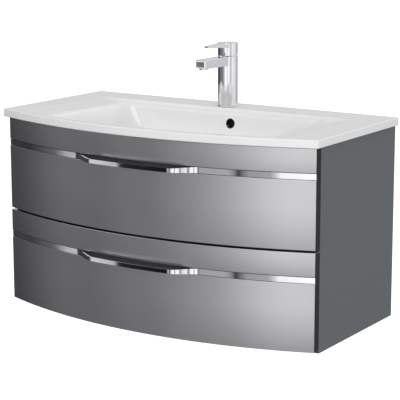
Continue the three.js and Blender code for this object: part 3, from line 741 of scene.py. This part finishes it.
# The levels with more between them, on a smooth curve.
def finerLevels(levels, between, pull):
    made = []
    for i in range(len(levels) - 1):
        before = levels[max(i - 1, 0)]
        a, b = levels[i], levels[i + 1]
        after = levels[min(i + 2, len(levels) - 1)]
        for k in range(between):
            t = k / between
            made.append(tuple(
                (2 * t ** 3 - 3 * t ** 2 + 1) * p1 + (t ** 3 - 2 * t ** 2 + t) * pull * (p2 - p0)
                + (3 * t ** 2 - 2 * t ** 3) * p2 + (t ** 3 - t ** 2) * pull * (p3 - p1)
                for p0, p1, p2, p3 in zip(before, a, b, after)
            ))
    return made + [levels[-1]]


def makeBasin(s):
    low = basinBox[0].z
    inside = finerLevels(bowlLevels, s["between"], s["pull"])
    floorRing = planRing(bowlLevels[0])
    floorZ = basinTop + bowlLevels[0][0]
    lipOut, lipDrop = s["lip"]

    def drainRing(radius, z):
        return roundRing(radius, z, floorRing)

    rings = [
        drainRing(s["holeRadius"], low),
        drainRing(s["holeRadius"], floorZ - s["seatDepth"]),
        drainRing(s["seatRadius"], floorZ - s["seatDepth"]),
        drainRing(s["seatRadius"], floorZ - s["seatTop"]),
        drainRing(s["seatRadius"] + lipOut, floorZ - lipDrop),
    ]
    seat = rings[-1]
    for t in s["floorShares"]:
        rings.append(mixRings(seat, floorRing, t, floorZ - lipDrop * (1 - t) ** s["floorCurve"]))
    rings += [planRing(level) for level in inside]
    r = s["rounding"]
    outer = (0.0, 0.0, basinBox[1].x, 0.0, 0.0, s["edgeCorner"])
    rings.append(planRing(outer, -s["rimInset"]))
    turns = [math.pi / 2 * i / s["roundingSteps"] for i in range(s["roundingSteps"] + 1)]
    for a in turns:
        rings.append(planRing(outer, -r + r * math.sin(a), r - r * math.cos(a)))
    for a in turns:
        rings.append(planRing(outer, -r + r * math.cos(a), s["edge"] - r + r * math.sin(a)))
    under = [level for level in inside if level[0] <= -s["edge"]]
    rings.append(planRing(under[-1], s["wall"], s["edge"] + under[-1][0]))
    for level in reversed(under):
        rings.append(planRing(level, s["wall"], s["wall"]))
    bottomZ = floorZ - s["wall"]
    boss = drainRing(s["bossRadius"], bottomZ)
    rings.append(mixRings(rings[-1], boss, 0.5, bottomZ))
    rings += [boss, drainRing(s["bossRadius"], low)]
    obj = skinRings(rings, joined=True)

    # The overflow's duct runs down behind the bowl and on under it to the waste.
    x, z = s["overflow"]
    half = s["ductHalf"]
    wide = half + s["ductWall"]
    front, back = s["ductY"]
    ductLow = floorZ - s["ductDrop"]
    boreLow = ductLow + s["ductWall"]
    cut(obj, addBox((x - wide, front, ductLow), (x + wide, back, basinTop - s["ductTop"])), "UNION")
    run = Vector((s["drain"][0] - x, s["drain"][1] - back))
    strip = addBox((-wide, 0, ductLow), (wide, run.length, floorZ - s["ductRoof"]))
    strip.rotation_euler.z = math.atan2(run.y, run.x) - math.pi / 2
    strip.location = (x, back, 0)
    settle(strip)
    cut(obj, strip, "UNION")
    cut(obj, addDrum(s["holeRadius"], low - past, floorZ - s["holeRoof"], centre=s["drain"]))
    boreFront, boreBack = s["ductBoreY"]
    cut(obj, addBox((x - half, boreFront, boreLow), (x + half, boreBack, z + s["ductBoreTop"])))
    cut(obj, addDrum(s["overflowRadius"], *s["overflowY"], axis="Y", centre=(x, z), sides=64))
    holeLow = basinTop - s["edge"] - past
    cut(obj, addDrum(s["tapHole"], holeLow, basinTop + past, centre=roundAxis("tap_body")))
    softEdges(obj, 0, angle=32)
    for name in ("basinWhite", "ductShade"):
        obj.data.materials.append(finishes[name])
    # Faces inside the overflow's duct get the near-black finish: painted shade.
    shadeFront, shadeBack = s["shadeY"]
    for face in obj.data.polygons:
        c = face.center
        aside = abs(c.x - x) < half + s["shadeSides"]
        if aside and shadeFront < c.y < shadeBack and boreLow - slack < c.z < z + s["shadeTop"]:
            face.material_index = 1
    finishPiece(obj, "washbasin", "cabinet", [], ["basin"])


makeBasin(basinSettings)
print("basin made")


tapSettings = {
    "sides": 128, "edge": 0.0008, "armEdge": 0.0010, "baseEdge": 0.0009, "baseHole": 0.0175,
    "spoutCorner": 0.005, "spoutWidth": 0.030, "spoutHigh": 0.0215, "spoutDrop": 0.003,
    "seatRadius": 0.0113, "seatBack": 0.015, "seatTop": 0.0095,
    "hollowRadius": 0.0193, "hollowLow": 0.162,
    "capHollow": (0.0215, 0.0135), "capCutAngle": 22, "capCutFrom": 0.002, "capCutHalf": 0.04,
    # Half width, and drops of the top and the underside, from the axis to the blade's tip.
    "bladeSections": (
        (0.017, 0.0005, 0.012), (0.0155, 0.0007, 0.0108),
        (0.0058, 0.0012, 0.0056), (0.0048, 0.0012, 0.0055),
    ),
    "bladeBack": 0.026,
}


def makeTapBody(s):
    low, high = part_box("tap_body")
    axis = roundAxis("tap_body")
    axisY = axis[1]
    obj = addDrum(high.x, low.z, high.z, centre=axis, sides=s["sides"])
    armHalf = s["spoutWidth"] / 2
    armLow = high.z - s["spoutHigh"]
    arm = addBox((-armHalf, low.y, armLow), (armHalf, axisY, high.z))
    for v in arm.data.vertices:
        if v.co.y > axisY - slack and v.co.z < high.z - slack:
            v.co.z -= s["spoutDrop"]
    editNone(arm)
    bpy.ops.object.mode_set(mode="OBJECT")
    for edge in arm.data.edges:
        ends = [arm.data.vertices[i].co for i in edge.vertices]
        edge.select = all(v.y < low.y + slack for v in ends) and abs(ends[0].x - ends[1].x) < slack
    bpy.ops.object.mode_set(mode="EDIT")
    bpy.ops.mesh.bevel(offset=s["spoutCorner"], segments=5, affect="EDGES")
    bpy.ops.object.mode_set(mode="OBJECT")
    softEdges(arm, s["armEdge"], segments=3)
    cut(obj, arm, "UNION")
    seatAxis = (0, low.y + s["seatBack"])
    cut(obj, addDrum(s["seatRadius"], armLow - past, high.z - s["seatTop"], centre=seatAxis, sides=64))
    cut(obj, addDrum(s["hollowRadius"], s["hollowLow"], high.z + past, centre=axis))
    softEdges(obj, s["edge"], segments=3, angle=40)
    finishPiece(obj, "tapBody", "cabinet", ["tapChrome"], ["tap_body"])


def makeTapBase(s):
    low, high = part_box("tap_base_ring")
    axis = roundAxis("tap_base_ring")
    obj = addDrum(high.x, low.z, high.z, centre=axis, sides=s["sides"])
    cut(obj, addDrum(s["baseHole"], low.z - past, high.z + past, centre=axis))
    softEdges(obj, s["baseEdge"], segments=3, angle=40)
    finishPiece(obj, "tapBaseRing", "cabinet", ["tapChrome"], ["tap_base_ring"])


def makeTapLever(s):
    low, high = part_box("tap_lever")
    axis = roundAxis("tap_lever")
    axisY = axis[1]
    obj = addDrum(high.x, low.z, high.z, centre=axis, sides=s["sides"])
    rings = []
    places = (axisY, axisY - s["bladeBack"], low.y + slack, low.y)
    for y, (half, top, under) in zip(places, s["bladeSections"]):
        corners = ((-half, top), (-half, under), (half, under), (half, top))
        rings.append([Vector((x, y, high.z - drop)) for x, drop in corners])
    blade = skinRings(rings)
    editNone(blade)
    bpy.ops.mesh.select_non_manifold()
    bpy.ops.mesh.edge_face_add()
    faceOutward(blade)
    cut(obj, blade, "UNION")
    hollowRadius, hollowHigh = s["capHollow"]
    cut(obj, addDrum(hollowRadius, low.z - past, low.z + hollowHigh, centre=axis))

    # The cap's back is cut away from below, so that it can tip up.
    start = axisY + s["capCutFrom"]
    end = start + high.x
    wedge = addBox((-s["capCutHalf"], start, low.z - 2 * slack), (s["capCutHalf"], end, low.z))
    for v in wedge.data.vertices:
        if v.co.y > end - slack and v.co.z > low.z - slack:
            v.co.z += high.x * math.tan(math.radians(s["capCutAngle"]))
    cut(obj, wedge)
    softEdges(obj, s["edge"], segments=3, angle=38)
    finishPiece(obj, "tapLever", "tap_handle", ["tapChrome"], ["tap_lever"])


plugSettings = {"edge": 0.0006}


def makePlug(s):
    obj = copyOfNode("waste_plug")
    softEdges(obj, s["edge"], segments=3, angle=30)
    finishPiece(obj, "wastePlug", "waste_plug", ["tapChrome"], ["waste_plug"])


makeTapBody(tapSettings)
makeTapBase(tapSettings)
makeTapLever(tapSettings)
makePlug(plugSettings)
print("tap and plug made")


def placedCopy(obj, place, turn):
    made = bpy.data.objects.new(obj.name, obj.data.copy())
    scene.collection.objects.link(made)
    made.location = place
    made.rotation_euler = [math.radians(a) for a in turn]
    return made


# Copies of one small part at several places, as one piece.
def scatter(obj, places, name, body, finish):
    copies = [placedCopy(obj, place, turn) for place, turn in places]
    bpy.data.objects.remove(obj)
    deselectAll()
    for made in copies:
        made.select_set(True)
    bpy.context.view_layer.objects.active = copies[0]
    if len(copies) > 1:
        bpy.ops.object.join()
    settle(copies[0])
    finishPiece(copies[0], name, body, [finish])


screwSettings = {
    "radius": 0.0028, "thick": 0.0022, "sides": 24, "edge": 0.0004,
    "slotLong": 0.0034, "slotWide": 0.0008, "slotDeep": 0.0011,
}


# A pan head with a cross recess, its top towards +Z.
def makeScrew(s, grow=1.0):
    obj = addDrum(s["radius"] * grow, 0, s["thick"], sides=s["sides"])
    low, high = s["thick"] - s["slotDeep"], s["thick"] + slack
    x, y = s["slotLong"] / 2 * grow, s["slotWide"] / 2 * grow
    cut(obj, addBox((-x, -y, low), (x, y, high)))
    cut(obj, addBox((-y, -x, low), (y, x, high)))
    softEdges(obj, s["edge"], angle=40)
    return obj


capSettings = {
    "radius": 0.0085, "thick": 0.0011, "sides": 40, "edge": 0.0002, "rim": 0.0010, "dish": 0.0004,
    "topFacing": 0.9, "notch": 0.0022, "notchIn": 0.0012, "notchHigh": 0.0006,
}


# A flat cover for a cam fitting, with a raised rim and a small notch to prise it off.
def makeCamCap(s):
    obj = addDrum(s["radius"], 0, s["thick"], sides=s["sides"])
    editNone(obj)
    bpy.ops.object.mode_set(mode="OBJECT")
    for face in obj.data.polygons:
        face.select = face.normal.z > s["topFacing"]
    bpy.ops.object.mode_set(mode="EDIT")
    bpy.ops.mesh.inset(thickness=s["rim"])
    bpy.ops.mesh.inset(thickness=s["dish"], depth=-s["dish"])
    bpy.ops.object.mode_set(mode="OBJECT")
    half = s["notch"] / 2
    inner, outer = s["radius"] - s["notchIn"], s["radius"] + slack
    cut(obj, addBox((inner, -half, -slack), (outer, half, s["notchHigh"])))
    softEdges(obj, s["edge"], angle=40)
    return obj


bumperSettings = {"radius": 0.0032, "thick": 0.0011, "segments": 28, "rings": 16, "smooth": 50}


# A clear dome, its flat side down.
def makeBumper(s):
    bpy.ops.mesh.primitive_uv_sphere_add(segments=s["segments"], ring_count=s["rings"], radius=s["radius"])
    obj = bpy.context.object
    obj.scale.z = s["thick"] / s["radius"]
    settle(obj)
    editAll(obj)
    bpy.ops.mesh.bisect(plane_co=(0, 0, 0), plane_no=(0, 0, 1), use_fill=True, clear_inner=True)
    faceOutward(obj)
    bpy.ops.object.shade_smooth_by_angle(angle=math.radians(s["smooth"]))
    return obj


aeratorSettings = {"radius": 0.0094, "sides": 24, "rings": 5, "wire": 0.00045, "above": 0.0012}


# The fine net in the spout's outlet.
def makeAeratorNet(s):
    low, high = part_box("tap_aerator")
    centre = ((low.x + high.x) / 2, (low.y + high.y) / 2, low.z + s["above"])
    bpy.ops.mesh.primitive_circle_add(vertices=s["sides"], radius=s["radius"], fill_type="TRIFAN")
    obj = bpy.context.object
    obj.location = centre
    settle(obj)
    editAll(obj)
    bpy.ops.mesh.subdivide(number_cuts=s["rings"] - 1)
    bpy.ops.object.mode_set(mode="OBJECT")
    applyModifier(obj, "WIREFRAME", thickness=s["wire"], use_even_offset=False)
    finishPiece(obj, "aeratorNet", "cabinet", ["zincSteel"])


# Distances of the fittings' middles from the edges of the piece they sit on, or their y and z.
placeSettings = {
    "bumperFromSide": 0.0042, "bumperFromEnds": 0.022,
    "adjusterFromFront": 0.0039, "adjusterDrops": (0.012, 0.044),
    "hangerScrews": ((-0.020, -0.012), (-0.070, -0.012), (-0.070, 0.018)), "hangerScrewSize": 1.25,
    "camFromEnd": 0.034, "camY": (-0.060, -0.320), "camRailZ": -0.376,
    "drawerScrewBack": 0.020, "drawerScrewEnds": (0.030, 0.024), "drawerScrewSize": 1.1,
}


def placeSmallFittings(s):
    sides = (-1, 1)
    sideLow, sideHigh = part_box("right_side_panel")
    x = sideHigh.x - s["bumperFromSide"]
    places = []
    for front in ("upper_front", "lower_front"):
        low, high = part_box(front)
        for z in (low.z + s["bumperFromEnds"], high.z - s["bumperFromEnds"]):
            places += [((side * x, sideLow.y, z), (90, 0, 0)) for side in sides]
    scatter(makeBumper(bumperSettings), places, "frontBumpers", "cabinet", "clearPlastic")

    low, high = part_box("right_hanger")
    x, y = (low.x + high.x) / 2, low.y + s["adjusterFromFront"]
    places = []
    for side in sides:
        places += [((side * x, y, high.z - drop), (90, 0, 0)) for drop in s["adjusterDrops"]]
    scatter(makeScrew(screwSettings), places, "hangerAdjusters", "cabinet", "brass")
    places = []
    for side in sides:
        places += [((side * low.x, y, z), (0, -90 * side, 0)) for y, z in s["hangerScrews"]]
    screw = makeScrew(screwSettings, s["hangerScrewSize"])
    scatter(screw, places, "hangerScrews", "cabinet", "zincSteel")

    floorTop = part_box("bottom_panel")[1].z
    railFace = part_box("rear_bottom_rail")[0].y
    crossLow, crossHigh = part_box("front_cross_rail")
    places = []
    for side in sides:
        x = side * (crossHigh.x - s["camFromEnd"])
        turn = 90 - 90 * side
        places += [((x, y, floorTop), (0, 0, turn)) for y in s["camY"]]
        places.append(((x, railFace, s["camRailZ"]), (90, 0, turn)))
        places.append(((x, (crossLow.y + crossHigh.y) / 2, crossLow.z), (180, 0, turn)))
    scatter(makeCamCap(capSettings), places, "camCaps", "cabinet", "greyPlastic")

    # The fronts are held to the drawer sides by two screws on each side.
    fromLow, fromHigh = s["drawerScrewEnds"]
    for level in ("upper", "lower"):
        low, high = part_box(level + "_right_side")
        y = low.y + s["drawerScrewBack"]
        places = []
        for side in sides:
            for z in (low.z + fromLow, high.z - fromHigh):
                places.append(((side * low.x, y, z), (0, -90 * side, 0)))
        screw = makeScrew(screwSettings, s["drawerScrewSize"])
        scatter(screw, places, level + "DrawerScrews", level + "_drawer", "zincSteel")


placeSmallFittings(placeSettings)
makeAeratorNet(aeratorSettings)
print("small fittings made")

print("pieces finished")
